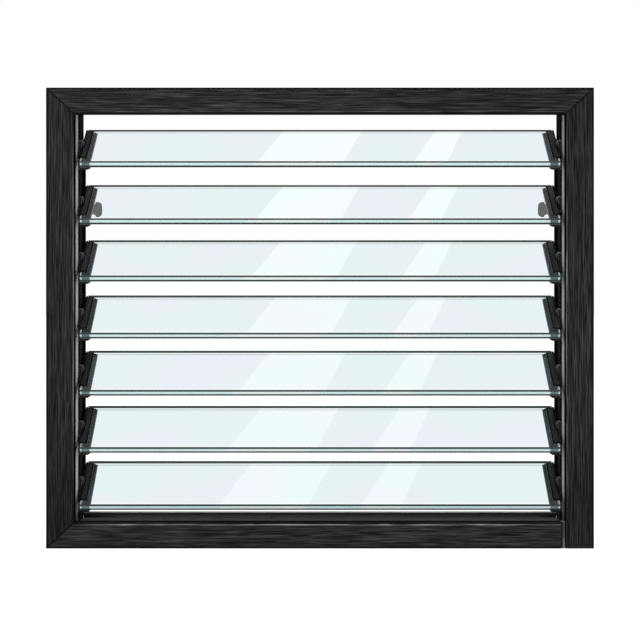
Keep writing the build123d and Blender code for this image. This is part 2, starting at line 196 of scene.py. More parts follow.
class NodeTree:
    """The node tree of a material or a world."""

    def __init__(
        self, owner: bpy.types.Material | bpy.types.World, output: str = "ShaderNodeOutputMaterial"
    ) -> None:
        """Empty the owner's tree and give it an output.

        Args:
            owner: the material or world.
            output: the Blender type of its output node.
        """
        owner.use_nodes = True
        self.tree = owner.node_tree
        self.tree.nodes.clear()
        self.output = self.add(output)

    def add(
        self, kind: str, inputs: dict[str | int, Value] | None = None, **settings: object
    ) -> bpy.types.Node:
        """Add a node.

        Args:
            kind: the node's Blender type.
            inputs: sockets or constants for its inputs, by name or number.
            settings: property names and values.

        Returns:
            The new node.
        """
        node = self.tree.nodes.new(kind)
        for key, value in settings.items():
            setattr(node, key, value)
        for key, value in (inputs or {}).items():
            self.feed(node.inputs[key], value)
        return node

    def feed(self, target: Socket, value: Value) -> None:
        """Link a socket to an input, or set the input to a constant.

        Args:
            target: the input.
            value: the socket or the constant.
        """
        if isinstance(value, Socket):
            self.tree.links.new(value, target)
        elif target.type == "RGBA":
            target.default_value = (*value, 1.0)
        else:
            target.default_value = value

    def show(self, surface: bpy.types.Node) -> None:
        """Send a surface to the tree's output."""
        self.feed(self.output.inputs["Surface"], surface.outputs[0])

    def glow(self, strength: Socket | float) -> bpy.types.Node:
        """A surface that gives white light."""
        return self.add("ShaderNodeEmission", {"Strength": strength})

    def ray(self, kind: Ray) -> Socket:
        """Whether a ray is of a kind."""
        return self.add("ShaderNodeLightPath").outputs[kind.value]

    def by_ray(self, kind: Ray, usual: bpy.types.Node, other: bpy.types.Node) -> bpy.types.Node:
        """Choose between two surfaces by the kind of ray.

        Args:
            kind: the kind of ray that meets the other surface.
            usual: the surface for all remaining rays.
            other: the surface for that kind.

        Returns:
            The mixed surface.
        """
        surfaces = {0: self.ray(kind), 1: usual.outputs[0], 2: other.outputs[0]}
        return self.add("ShaderNodeMixShader", surfaces)

    def component(self, vector: Socket, axis: Axis) -> Socket:
        """The part of a vector along one axis."""
        return self.add("ShaderNodeSeparateXYZ", {0: vector}).outputs[axis.value]

    def math(self, operation: str, first: Socket, second: Socket | float = 0.0) -> Socket:
        """A sum on one value or two.

        Args:
            operation: Blender's name of the sum.
            first: first value.
            second: second value, which some sums don't use.

        Returns:
            The result.
        """
        return self.add("ShaderNodeMath", {0: first, 1: second}, operation=operation).outputs[0]

    def remap(self, value: Socket, low: float, high: float, start: float = 0.0) -> Socket:
        """Carry a value from one range to another.

        Args:
            value: the value, between the start and 1.
            low: result at the start.
            high: result at 1.
            start: low end of the value's range.

        Returns:
            The carried value.
        """
        inputs = {"Value": value, "From Min": start, "To Min": low, "To Max": high}
        return self.add("ShaderNodeMapRange", inputs).outputs["Result"]

    def ramp(self, value: Socket, stops: Iterable[tuple[float, Colour]]) -> Socket:
        """Colours along a grey value.

        Args:
            value: grey input.
            stops: position and colour of each stop.

        Returns:
            The colour.
        """
        node = self.add("ShaderNodeValToRGB", {"Fac": value})
        stops = list(stops)
        elements = node.color_ramp.elements
        while len(elements) < len(stops):
            elements.new(1.0)
        for element, (position, colour) in zip(elements, stops):
            element.position = position
            element.color = (*colour, 1.0)
        return node.outputs["Color"]

    def levels(self, value: Socket, stops: Iterable[Pair]) -> Socket:
        """Grey levels along a grey value, each stop being a position and a level."""
        return self.ramp(value, [(position, (level,) * 3) for position, level in stops])

    def mix(
        self, amount: Socket | float, first: Value, second: Value, blend: str = "MIX"
    ) -> Socket:
        """Mix two colours.

        Args:
            amount: share of the second colour.
            first: colour or socket.
            second: colour or socket.
            blend: the blend mode.

        Returns:
            The mixed colour.
        """
        inputs = {0: amount, 6: first, 7: second}
        node = self.add("ShaderNodeMix", inputs, data_type="RGBA", blend_type=blend)
        return node.outputs[2]

    def times(self, first: Value, second: Value) -> Socket:
        """The product of two colours."""
        return self.mix(1.0, first, second, "MULTIPLY")


class Shader(NodeTree):
    """The node tree of one finish, laid out in Object coordinates."""

    def __init__(self, name: str) -> None:
        """Start a material with a Principled surface.

        Args:
            name: the material's name.
        """
        self.material = bpy.data.materials.new(name)
        super().__init__(self.material)
        self.surface = self.add("ShaderNodeBsdfPrincipled")
        self.show(self.surface)
        self.coordinates = self.add("ShaderNodeTexCoord").outputs["Object"]

    def set(self, **values: Value) -> None:
        """Set or link inputs of the Principled surface; underscores stand for spaces."""
        for key, value in values.items():
            self.feed(self.surface.inputs[key.replace("_", " ")], value)

    def bump(self, height: Socket, strength: float, depth: float) -> None:
        """Raise the surface by a grey height.

        Args:
            height: grey input.
            strength: 0 to 1.
            depth: depth of the relief in metres.
        """
        inputs = {"Height": height, "Strength": strength, "Distance": depth}
        self.set(Normal=self.add("ShaderNodeBump", inputs).outputs["Normal"])

    def noise(self, pattern: Pattern, vector: Socket | None = None) -> Socket:
        """Grey noise between 0 and 1.

        Args:
            pattern: its fineness.
            vector: coordinates to read, or None for the Object coordinates.

        Returns:
            The noise value.
        """
        stretch = {"Vector": vector or self.coordinates, "Scale": pattern.scale}
        inputs = {
            "Vector": self.add("ShaderNodeMapping", stretch).outputs["Vector"],
            "Scale": 1.0,
            "Detail": pattern.octaves,
            "Distortion": pattern.distortion,
        }
        return self.add("ShaderNodeTexNoise", inputs).outputs["Fac"]

    def bent(self, amount: Socket, axis: Axis, reach: float) -> Socket:
        """Push the coordinates sideways to an axis, so that a grain along it meanders.

        Args:
            amount: grey value around one half.
            axis: the axis of the grain.
            reach: largest push, in metres.

        Returns:
            The bent coordinates.
        """
        sideways = self.math("MULTIPLY", self.math("SUBTRACT", amount, 0.5), 2 * reach)
        sides = {index: sideways for index in range(3) if index != axis.value}
        push = self.add("ShaderNodeCombineXYZ", sides).outputs[0]
        inputs = {0: self.coordinates, 1: push}
        return self.add("ShaderNodeVectorMath", inputs, operation="ADD").outputs[0]

    def place(self, axis: Axis) -> Socket:
        """The coordinate of a point on one axis."""
        return self.component(self.coordinates, axis)

    def from_edge(self, axis: Axis, edge: float, middle: float, span: float) -> Socket:
        """How far a point lies in from the nearer of two mirrored edges.

        Args:
            axis: the axis to measure on.
            edge: distance of the edges from the middle.
            middle: the middle's coordinate.
            span: distance that counts as 1.

        Returns:
            The distance over the span.
        """
        outwards = self.math("ABSOLUTE", self.math("SUBTRACT", self.place(axis), middle))
        return self.math("MULTIPLY", self.math("SUBTRACT", outwards, edge), -1.0 / span)

    def level(self, shade: Shade) -> Socket:
        """The level of a shade at a point.

        Args:
            shade: the shade.

        Returns:
            Its level.
        """
        low = shade.stops[0][0]
        span = shade.stops[-1][0] - low
        place = self.place(shade.axis)
        if shade.mirrored:
            place = self.math("ABSOLUTE", place)
        share = self.math("DIVIDE", self.math("SUBTRACT", place, low), span)
        return self.levels(share, [((at - low) / span, level) for at, level in shade.stops])

    def shaded(self, colour: Socket, shades: Iterable[Shade]) -> Socket:
        """Darken a colour by one painted shade after the other.

        Args:
            colour: the colour to darken.
            shades: the shades.

        Returns:
            The darkened colour.
        """
        for shade in shades:
            colour = self.times(colour, self.level(shade))
        return colour


# Finishes


@dataclass(frozen=True)
class FrameLayout:
    """Where the frame's front faces lie."""

    half_width: float
    half_height: float
    jamb_face: float
    rail_face: float
    front: float

    @classmethod
    def measured(cls) -> "FrameLayout":
        """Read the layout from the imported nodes.

        Returns:
            The layout.
        """
        rail_low, rail_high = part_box("sill_rail")
        jamb_low, jamb_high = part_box("left_jamb")
        half_width = -jamb_low.x
        return cls(
            half_width=half_width,
            half_height=(jamb_low.z + jamb_high.z) / 2,
            jamb_face=half_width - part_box("right_channel")[0].x,
            rail_face=rail_high.z - rail_low.z,
            front=jamb_low.y,
        )

    def inwards(self, shader: Shader, across: Axis) -> Socket:
        """How far a point lies in from the outer edge, from 0 to 1 across a face.

        Args:
            shader: the node tree to add to.
            across: X for the jambs, Z for the rails.

        Returns:
            The share of the face.
        """
        if across is Axis.X:
            return shader.from_edge(Axis.X, self.half_width, 0.0, self.jamb_face)
        return shader.from_edge(Axis.Z, self.half_height, self.half_height, self.rail_face)


@dataclass(frozen=True)
class WoodgrainFoil:
    """Black foil with an embossed wood grain, laid over the frame extrusions.

    The painted highlight (glint) lies at a share of the face; the rise, fall and plain fall are
    steps from there, in the same shares. The outline and the inner dark level paint shade by
    the outer arris and on the inner returns.
    """

    name: str
    grain: Axis
    layout: FrameLayout
    dark: Colour = (0.0032, 0.0032, 0.0033)
    middle: Colour = (0.0130, 0.0130, 0.0132)
    light: Colour = (0.058, 0.059, 0.059)
    warp: Grain = Grain(5.0, 26.0, 2.0)
    warp_reach: float = 3.0 * MM
    veins: Grain = Grain(11.0, 640.0, 3.0)
    vein_places: Point = (0.38, 0.50, 0.65)
    streaks: Grain = Grain(26.0, 980.0, 3.0)
    streak_places: Point = (0.40, 0.50, 0.63)
    streak_share: float = 0.5
    pores: Grain = Grain(90.0, 1500.0, 2.0)
    pore_share: float = 0.35
    clouds: Grain = Grain(2.0, 16.0, 2.0)
    cloud_places: Pair = (0.30, 0.70)
    cloud_dark: Colour = (0.80, 0.80, 0.80)
    cloud_light: Colour = (1.2, 1.2, 1.19)
    roughness: Pair = (0.48, 0.66)
    shine: Stops = ((0.985, 0.06), (0.995, 0.0))
    relief: Pair = (0.35, 0.22 * MM)
    # Painted shade: a dark line along the outer arris on the front.
    outline: float = 3.0 * MM
    outline_level: float = 0.2
    outline_fade: Pair = (0.85, 1.20)
    joint: float = 0.028
    joint_levels: Pair = (0.10, 0.16)
    # Painted highlight on the inner round, where it shows, and painted shade on the inner returns.
    glint: float = 0.962
    glint_gain: float = 5.2
    glint_rise: Pair = (-0.035, -0.018)
    glint_fall: Pair = (0.015, 0.030)
    plain_fall: Pair = (0.005, 0.030)
    inner_dark: float = 0.05
    jamb_glint: Stops = (
        (0.02, 0.0), (0.20, 0.35), (0.45, 1.0), (0.62, 1.0), (0.80, 0.25), (0.9, 0.0)
    )
    head_glint: float = 0.22
    shades: tuple[Shade, ...] = ()

    def build(self) -> bpy.types.Material:
        """Make the material.

        Returns:
            The material.
        """
        shader = Shader(self.name)
        warp = shader.noise(self.warp.along(self.grain))
        bent = shader.bent(warp, self.grain, self.warp_reach)
        veins, streaks, pores = (
            shader.noise(grain.along(self.grain), bent)
            for grain in (self.veins, self.streaks, self.pores)
        )
        colours = (self.dark, self.middle, self.light)
        base = shader.ramp(veins, zip(self.vein_places, colours))
        fine = shader.ramp(streaks, zip(self.streak_places, colours))
        clouds = shader.noise(self.clouds.along(self.grain))
        tone = shader.ramp(clouds, zip(self.cloud_places, (self.cloud_dark, self.cloud_light)))
        colour = shader.times(shader.mix(self.streak_share, base, fine), tone)
        colour = shader.times(colour, self.edge_tone(shader))
        colour = shader.times(colour, self.joint_tone(shader))
        lines = shader.mix(self.streak_share, veins, streaks)
        shader.bump(shader.mix(self.pore_share, lines, pores), *self.relief)
        # The returns of the face, seen almost edge on, lose their shine and keep the painted shade
        # of the edge tone, so they stay black.
        shader.set(
            Base_Color=shader.shaded(colour, self.shades),
            Roughness=shader.remap(streaks, *self.roughness),
            Specular_IOR_Level=shader.levels(self.inwards(shader), self.shine),
        )
        return shader.material

    @property
    def across(self) -> Axis:
        """The axis across the faces that this foil covers."""
        return Axis.Z if self.grain is Axis.X else Axis.X

    def inwards(self, shader: Shader) -> Socket:
        """How far a point lies in from the outer edge, from 0 to 1 across the face."""
        return self.layout.inwards(shader, self.across)

    def edge_tone(self, shader: Shader) -> Socket:
        """Painted shade by the outer arris and on the inner returns, and a painted highlight on the
        inner round.

        Args:
            shader: the node tree to add to.

        Returns:
            The tone to multiply by.
        """
        inwards = self.inwards(shader)
        face = self.layout.jamb_face if self.across is Axis.X else self.layout.rail_face
        line = self.outline / face
        dark_end, plain_start = (line * share for share in self.outline_fade)
        level = self.outline_level
        stops = ((0.0, level), (dark_end, level), (plain_start, 1.0))
        front, end = self.layout.front, self.layout.front + self.outline
        on_front = shader.level(Shade(Axis.Y, ((front, 1.0), (end, 1.0), (end + MM, 0.0))))
        outer = shader.mix(on_front, WHITE, shader.levels(inwards, stops))
        steps = (*self.glint_rise, *self.glint_fall)
        gains = (1.0, self.glint_gain, self.glint_gain, self.inner_dark)
        glinting = [(self.glint + step, gain) for step, gain in zip(steps, gains)]
        plain = [
            (self.glint + step, gain) for step, gain in zip(self.plain_fall, (1.0, self.inner_dark))
        ]
        inner = shader.mix(
            self.glint_share(shader), shader.levels(inwards, plain), shader.levels(inwards, glinting)
        )
        return shader.times(outer, inner)

    def glint_share(self, shader: Shader) -> Socket:
        """Where the inner round takes a painted highlight: the jambs' middles, the sill rail, a
        little above.

        Args:
            shader: the node tree to add to.

        Returns:
            The share of the painted highlight.
        """
        half_width, half_height = self.layout.half_width, self.layout.half_height
        if self.grain is Axis.Z:
            height = 2 * half_height
            stops = tuple((share * height, level) for share, level in self.jamb_glint)
            return shader.level(Shade(Axis.Z, stops))
        low_half = ((0.0, 1.0), (0.98 * half_height, 1.0), (half_height, self.head_glint))
        middle = ((0.0, 1.0), (0.70 * half_width, 1.0), (0.88 * half_width, 0.15))
        return shader.times(
            shader.level(Shade(Axis.Z, low_half)),
            shader.level(Shade(Axis.X, middle, mirrored=True)),
        )

    def joint_tone(self, shader: Shader) -> Socket:
        """Dark line along the mitres, at every corner but the square-cut one.

        Args:
            shader: the node tree to add to.

        Returns:
            The tone to multiply by.
        """
        sideways = self.layout.inwards(shader, Axis.X)
        upwards = self.layout.inwards(shader, Axis.Z)
        offset = shader.math("ABSOLUTE", shader.math("SUBTRACT", sideways, upwards))
        centre, side = self.joint_levels
        line = shader.levels(offset, ((0.0, centre), (self.joint, side), (2 * self.joint, 1.0)))
        leftwards = shader.math("MULTIPLY", shader.place(Axis.X), -1.0)
        above = shader.math("SUBTRACT", shader.place(Axis.Z), self.layout.half_height)
        mitred = shader.math("GREATER_THAN", shader.math("MAXIMUM", leftwards, above), 0.0)
        return shader.mix(mitred, WHITE, line)


@dataclass(frozen=True)
class ExtrudedCoating:
    """Satin black coating on an extruded or rolled strip, with fine lines along it."""

    name: str
    direction: Axis
    colour: Colour
    worn: Colour
    specular: float = 0.02
    shades: tuple[Shade, ...] = ()
    lines: Grain = Grain(3.0, 900.0, 3.0)
    places: Pair = (0.35, 0.72)
    dust: Pattern = Pattern((90.0, 90.0, 90.0), 4.0)
    dust_share: float = 0.25
    roughness: Pair = (0.45, 0.62)
    relief: Pair = (0.18, 0.05 * MM)

    def build(self) -> bpy.types.Material:
        """Make the material.

        Returns:
            The material.
        """
        shader = Shader(self.name)
        lines = shader.noise(self.lines.along(self.direction))
        dust = shader.noise(self.dust)
        colour = shader.ramp(lines, zip(self.places, (self.colour, self.worn)))
        colour = shader.mix(shader.remap(dust, 0.0, self.dust_share), colour, self.worn)
        shader.bump(lines, *self.relief)
        shader.set(
            Base_Color=shader.shaded(colour, self.shades),
            Roughness=shader.remap(dust, *self.roughness),
            Specular_IOR_Level=self.specular,
        )
        return shader.material


@dataclass(frozen=True)
class StripPlastic:
    """Pale grey plastic of the cover strips."""

    name: str
    shades: tuple[Shade, ...]
    colour: Colour = (0.640, 0.654, 0.651)
    dark: Colour = (0.550, 0.564, 0.561)
    lines: Grain = Grain(5.0, 700.0, 3.0)
    places: Pair = (0.35, 0.65)
    dust: Pattern = Pattern((40.0, 40.0, 40.0), 5.0)
    dust_share: float = 0.3
    roughness: Pair = (0.45, 0.6)
    relief: Pair = (0.15, 0.04 * MM)

    def build(self) -> bpy.types.Material:
        """Make the material.

        Returns:
            The material.
        """
        shader = Shader(self.name)
        lines = shader.noise(self.lines.along(Axis.Z))
        dust = shader.noise(self.dust)
        colour = shader.ramp(lines, zip(self.places, (self.dark, self.colour)))
        aged = shader.mix(shader.remap(dust, 0.0, self.dust_share), colour, self.dark)
        shader.bump(lines, *self.relief)
        shader.set(
            Base_Color=shader.shaded(aged, self.shades),
            Roughness=shader.remap(dust, *self.roughness),
            Specular_IOR_Level=0.0,
        )
        return shader.material


@dataclass(frozen=True)
class MouldedPlastic:
    """Moulded plastic with a fine spark-eroded texture and slight flow marks."""

    name: str
    colour: Colour = (0.0090, 0.0112, 0.0115)
    pale: Colour = (0.0160, 0.0192, 0.0198)
    roughness: Pair = (0.40, 0.55)
    specular: float = 0.08
    shades: tuple[Shade, ...] = ()
    texture: Pattern = Pattern((1600.0, 1600.0, 1600.0), 2.0)
    flow: Pattern = Pattern((55.0, 25.0, 25.0), 4.0, 0.8)
    places: Pair = (0.35, 0.75)
    relief: Pair = (0.22, 0.03 * MM)

    def build(self) -> bpy.types.Material:
        """Make the material.

        Returns:
            The material.
        """
        shader = Shader(self.name)
        flow = shader.noise(self.flow)
        colour = shader.ramp(flow, zip(self.places, (self.colour, self.pale)))
        shader.bump(shader.noise(self.texture), *self.relief)
        shader.set(
            Base_Color=shader.shaded(colour, self.shades),
            Roughness=shader.remap(flow, *self.roughness),
            Specular_IOR_Level=self.specular,
        )
        return shader.material


@dataclass(frozen=True)
class SealRubber:
    """Soft grey rubber of the sill seal, painted black as shade below its pale upper part."""

    name: str
    pale_height: float = 2.0 * MM
    colour: Colour = (0.300, 0.306, 0.308)
    dark: Colour = (0.215, 0.220, 0.222)
    mottle: Pattern = Pattern((25.0, 220.0, 220.0), 5.0)
    places: Pair = (0.30, 0.62)
    # Painted shade: the seal turns black below its pale upper part.
    foot: Stops = ((0.42, 0.01), (0.54, 1.0))
    roughness: float = 0.72
    specular: float = 0.25
    relief: Pair = (0.25, 0.06 * MM)

    def build(self) -> bpy.types.Material:
        """Make the material.

        Returns:
            The material.
        """
        shader = Shader(self.name)
        mottle = shader.noise(self.mottle)
        colour = shader.ramp(mottle, zip(self.places, (self.dark, self.colour)))
        span = 2 * self.pale_height
        rise = shader.math("SUBTRACT", shader.place(Axis.Z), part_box("sill_seal")[1].z - span)
        share = shader.math("DIVIDE", rise, span)
        shader.bump(mottle, *self.relief)
        shader.set(
            Base_Color=shader.times(colour, shader.levels(share, self.foot)),
            Roughness=self.roughness,
            Specular_IOR_Level=self.specular,
        )
        return shader.material


@dataclass(frozen=True)
class FillerPlastic:
    """Grey plastic of the corner filler, with painted dark shadow along the sill rail's end and at
    its other side, and painted shade that darkens it upwards.
    """

    name: str
    grey: Colour = (0.200, 0.205, 0.205)
    gap_shadow_and_dust: Colour = (0.003, 0.003, 0.003)
    gap_edges: tuple[float, ...] = (0.0, 0.30, 0.40, 0.90, 0.97)
    # Painted shade: darker towards the top.
    dimming: Stops = ((0.0, 1.0), (0.25, 0.8), (0.55, 0.30))
    dust: Pattern = Pattern((60.0, 60.0, 60.0), 4.0)
    dust_share: float = 0.25
    roughness: Pair = (0.45, 0.6)
    specular: float = 0.05

    def build(self) -> bpy.types.Material:
        """Make the material.

        Returns:
            The material.
        """
        shader = Shader(self.name)
        low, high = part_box("corner_filler")
        offset = shader.math("SUBTRACT", shader.place(Axis.X), low.x)
        across = shader.math("DIVIDE", offset, high.x - low.x)
        upwards = shader.math("DIVIDE", shader.place(Axis.Z), high.z - low.z)
        # Painted shadow in the gaps at both sides; dust darkens towards the same colour.
        colours = (self.gap_shadow_and_dust, self.gap_shadow_and_dust, self.grey, self.grey, self.gap_shadow_and_dust)
        band = shader.ramp(across, zip(self.gap_edges, colours))
        dust = shader.noise(self.dust)
        lit = shader.times(band, shader.levels(upwards, self.dimming))
        shader.set(
            Base_Color=shader.mix(shader.remap(dust, 0.0, self.dust_share), lit, self.gap_shadow_and_dust),
            Roughness=shader.remap(dust, *self.roughness),
            Specular_IOR_Level=self.specular,
        )
        return shader.material


@dataclass(frozen=True)
class PlateGlass:
    """Clear plate glass whose faint tint drifts from teal to grey blue, with a trace of dust."""

    name: str
    tint: Colour = (0.815, 0.925, 0.925)
    drift: Colour = (0.845, 0.895, 0.955)
    dust: float = 0.03
    ior: float = 1.5
    sheen: Colour = WHITE
    film: Pattern = Pattern((6.0, 14.0, 14.0), 5.0, 0.4)
    clouds: Pattern = Pattern((7.0, 9.0, 16.0), 1.0, 0.2)
    places: Pair = (0.38, 0.62)

    def build(self) -> bpy.types.Material:
        """Make the material.

        Returns:
            The material.
        """
        shader = Shader(self.name)
        clouds = shader.noise(self.clouds)
        shader.set(
            Base_Color=shader.ramp(clouds, zip(self.places, (self.tint, self.drift))),
            Roughness=shader.remap(shader.noise(self.film), 0.0, self.dust),
            Transmission_Weight=1.0,
            IOR=self.ior,
            Specular_Tint=self.sheen,
        )
        return shader.material


@dataclass(frozen=True)
class Sheen:
    """A painted reflection of a streak: a paler part of the ground edges, between two lines that
    lean with the streaks.

    Each line has an X at the height of the sill and a slope of X against height.
    """

    left: float
    left_slope: float
    right: float
    right_slope: float
    softness: float = 6.0 * MM

    def share(self, shader: Shader) -> Socket:
        """How far a point lies within the two lines.

        Args:
            shader: the node tree to add to.

        Returns:
            The share, from 0 to 1.
        """
        sides = []
        for at, slope, sign in (
            (self.left, self.left_slope, 1.0),
            (self.right, self.right_slope, -1.0),
        ):
            lean = shader.math("MULTIPLY", shader.place(Axis.Z), slope)
            offset = shader.math("SUBTRACT", shader.place(Axis.X), lean)
            inside = shader.math("SUBTRACT", offset, at)
            scaled = shader.math("MULTIPLY", inside, sign / self.softness)
            sides.append(shader.math("MINIMUM", shader.math("MAXIMUM", scaled, 0.0), 1.0))
        return shader.math("MULTIPLY", *sides)


# Painted reflections of the two streaks on the ground edges.
WIDE_SHEEN = Sheen(-0.164, 0.096, -0.028, 0.094)
NARROW_SHEEN = Sheen(0.055, 0.159, 0.126, 0.094)


@dataclass(frozen=True)
class GroundGlass:
    """A ground strip on the edge of a glass blade."""

    name: str
    colour: Colour
    transmission: float
    ior: float = 1.5
    specular: float = 0.15
    roughness: float = 0.22
    paling: float = 1.12
    sheens: tuple[Sheen, ...] = ()
    sheen_colour: Colour = (0.90, 1.0, 0.99)
    grinding: Pattern = Pattern((900.0, 2500.0, 2500.0), 3.0)
    places: Pair = (0.35, 0.70)
    relief: Pair = (0.12, 0.02 * MM)

    def build(self) -> bpy.types.Material:
        """Make the material.

        Returns:
            The material.
        """
        shader = Shader(self.name)
        grinding = shader.noise(self.grinding)
        paler = tuple(min(1.0, channel * self.paling) for channel in self.colour)
        colour = shader.ramp(grinding, zip(self.places, (self.colour, paler)))
        # Painted reflections of the streaks.
        for sheen in self.sheens:
            colour = shader.mix(sheen.share(shader), colour, self.sheen_colour)
        shader.bump(grinding, *self.relief)
        shader.set(
            Base_Color=colour,
            Transmission_Weight=self.transmission,
            IOR=self.ior,
            Roughness=self.roughness,
            Specular_IOR_Level=self.specular,
        )
        return shader.material


# Painted shades, measured in millimetres from the edges of a piece
# Painted shade: dark bands along the channel's front and back edges.
CHANNEL_FRONT: Stops = ((0.0, 0.08), (8.0, 0.08), (11.0, 1.0))
CHANNEL_BACK: Stops = ((-12.0, 1.0), (-6.0, 0.15))
# Painted shade: a dark band by the cover strip's back edge, and the strip darker towards its foot.
STRIP_FRONT: Stops = ((0.0, 1.0),)
STRIP_BACK: Stops = ((-6.5, 1.0), (-4.5, 0.10), (0.0, 0.10))
STRIP_FOOT: Stops = ((0.0, 0.22), (14.0, 0.22), (28.0, 1.0), (60.0, 1.0))
# Painted shade: the knob darker round its sides, foot and top than in the middle.
KNOB_SIDE: Stops = ((0.0, 0.25), (1.2, 0.25), (2.6, 1.0), (5.5, 1.0), (8.0, 0.2))
KNOB_FOOT: Stops = ((0.0, 0.2), (1.2, 0.3), (3.0, 1.0))
KNOB_TOP: Stops = ((-3.0, 1.0), (0.0, 0.3))

# Painted shades, measured in metres from the middle of the window and from the sill
# Painted shade: the left jamb darker than the right, and both jambs darker towards the sill.
JAMB_SIDES = Shade(Axis.X, ((-0.10, 0.86), (0.10, 0.98)))
JAMB_FOOT = Shade(Axis.Z, ((0.08, 0.70), (0.22, 1.0)))
# Painted shade: the right cover strip darker than the left.
STRIP_SIDES = Shade(Axis.X, ((-0.10, 0.84), (0.10, 0.62)))
# Painted shade: the sill tray and its raised back edge darker towards their ends by the channels.
TRAY_ENDS = Shade(Axis.X, ((0.0, 1.0), (0.350, 1.0), (0.374, 0.25)), mirrored=True)


@dataclass(frozen=True)
class Palette:
    """Every finish of the window, built once."""

    foil_across: bpy.types.Material
    foil_upright: bpy.types.Material
    tray: bpy.types.Material
    upstand_lit: bpy.types.Material
    channel: bpy.types.Material
    tie_bar: bpy.types.Material
    strip: bpy.types.Material
    seal: bpy.types.Material
    clip: bpy.types.Material
    lip_shade_rim: bpy.types.Material
    knob: bpy.types.Material
    filler: bpy.types.Material
    glass: bpy.types.Material
    glass_over_clip: bpy.types.Material
    clear_highlight: bpy.types.Material
    pale_shade_line: bpy.types.Material
    ground: bpy.types.Material
    ground_shade_over_clip: bpy.types.Material
    arris: bpy.types.Material

    @classmethod
    def mixed(cls) -> "Palette":
        """Build the finishes.

        Returns:
            The palette.
        """
        layout = FrameLayout.measured()
        channel_low, channel_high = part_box("left_channel")
        strip_low, strip_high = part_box("left_cover_strip")
        knob_low, knob_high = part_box("right_knob")
        channel_depths = from_edges((channel_low.y, CHANNEL_FRONT), (channel_high.y, CHANNEL_BACK))
        strip_depths = from_edges((strip_low.y, STRIP_FRONT), (strip_high.y, STRIP_BACK))
        strip_heights = from_edges((strip_low.z, STRIP_FOOT))
        knob_widths = from_edges((knob_low.x, KNOB_SIDE))
        knob_heights = from_edges((knob_low.z, KNOB_FOOT), (knob_high.z, KNOB_TOP))
        recipes = dict(
            # The rail foil is a lighter copy of the jamb foil, as painted light, with its own
            # painted highlight and returns shade.
            foil_across=WoodgrainFoil(
                "woodgrain_foil_across", Axis.X, layout,
                light=(0.066, 0.067, 0.067), glint=0.905, glint_gain=6.2, inner_dark=0.30,
            ),
            # Jamb foil with painted shade on the left and towards the sill.
            foil_upright=WoodgrainFoil(
                "woodgrain_foil_upright", Axis.Z, layout, shades=(JAMB_SIDES, JAMB_FOOT)
            ),
            # The tray and its raised back edge share one coating: the tray's copy is painted darker
            # against the light it gets from above, the raised edge's copy lighter against its
            # shade, and both take painted shade towards their ends.
            tray=ExtrudedCoating(
                "tray_coating_painted_shade", Axis.X, (0.0085, 0.0086, 0.0088), (0.0155, 0.0157, 0.0160),
                shades=(TRAY_ENDS,),
            ),
            upstand_lit=ExtrudedCoating(
                "upstand_coating_painted_light", Axis.X, (0.042, 0.0425, 0.043), (0.072, 0.073, 0.074),
                shades=(TRAY_ENDS,),
            ),
            # Channel coating with painted shade along its front and back edges.
            channel=ExtrudedCoating(
                "channel_coating", Axis.Z, (0.0125, 0.0127, 0.0130), (0.0260, 0.0263, 0.0270),
                specular=0.0, shades=(Shade(Axis.Y, channel_depths),),
            ),
            # The tie bar's coating is a darker copy of the channel's, as painted shade.
            tie_bar=ExtrudedCoating(
                "tie_bar_coating_painted_shade", Axis.Z, (0.0040, 0.0041, 0.0042), (0.0090, 0.0091, 0.0094),
                specular=0.0,
            ),
            # Cover strip with painted shade by its back edge, towards its foot and on the right.
            strip=StripPlastic(
                "cover_strip_plastic",
                (Shade(Axis.Y, strip_depths), Shade(Axis.Z, strip_heights), STRIP_SIDES),
            ),
            seal=SealRubber("sill_seal_rubber"),
            clip=MouldedPlastic("clip_plastic"),
            # Painted shade: a dark rim round each clip's front lip.
            lip_shade_rim=MouldedPlastic(
                "clip_lip_painted_shade", (0.0016, 0.0026, 0.0028), (0.0030, 0.0044, 0.0046), specular=0.0
            ),
            # Knob with painted shade round its rim.
            knob=MouldedPlastic(
                "knob_plastic", (0.004, 0.014, 0.016), (0.018, 0.036, 0.039), specular=0.0,
                shades=(Shade(Axis.X, knob_widths, mirrored=True), Shade(Axis.Z, knob_heights)),
            ),
            filler=FillerPlastic("corner_filler_plastic"),
            glass=PlateGlass("blade_glass"),
            glass_over_clip=PlateGlass(
                "blade_glass_over_clip", ior=1.28, sheen=(0.72, 0.97, 1.0)
            ),
            # Untinted glass in bands by the top and foot and on the top edge, painted as
            # highlights.
            clear_highlight=PlateGlass("blade_glass_painted_highlight", WHITE, WHITE),
            # A darker line under the top, painted as shade.
            pale_shade_line=PlateGlass("blade_glass_painted_shade_line", (0.42, 0.52, 0.52), (0.46, 0.54, 0.55)),
            ground=GroundGlass(
                "glass_edge_ground", (0.70, 0.93, 0.93), 0.15, sheens=(WIDE_SHEEN, NARROW_SHEEN)
            ),
            # The ground edge over the clips, painted darker as shade.
            ground_shade_over_clip=GroundGlass("glass_edge_painted_shade_over_clip", (0.13, 0.19, 0.19), 0.15),
            # Dark bands by the arrises and a dark strip under the foot, painted as shade.
            arris=GroundGlass("glass_arris_painted_shade", (0.030, 0.046, 0.046), 0.0),
        )
        return cls(**{name: recipe.build() for name, recipe in recipes.items()})


# Modelling


def deselect_all() -> None:
    """Leave nothing selected and nothing active."""
    if bpy.context.object and bpy.context.object.mode != "OBJECT":
        bpy.ops.object.mode_set(mode="OBJECT")
    bpy.ops.object.select_all(action="DESELECT")


def make_active(piece: bpy.types.Object) -> None:
    """Select one piece alone and make it the active one.

    Args:
        piece: the piece.
    """
    deselect_all()
    piece.hide_set(False)
    piece.select_set(True)
    bpy.context.view_layer.objects.active = piece


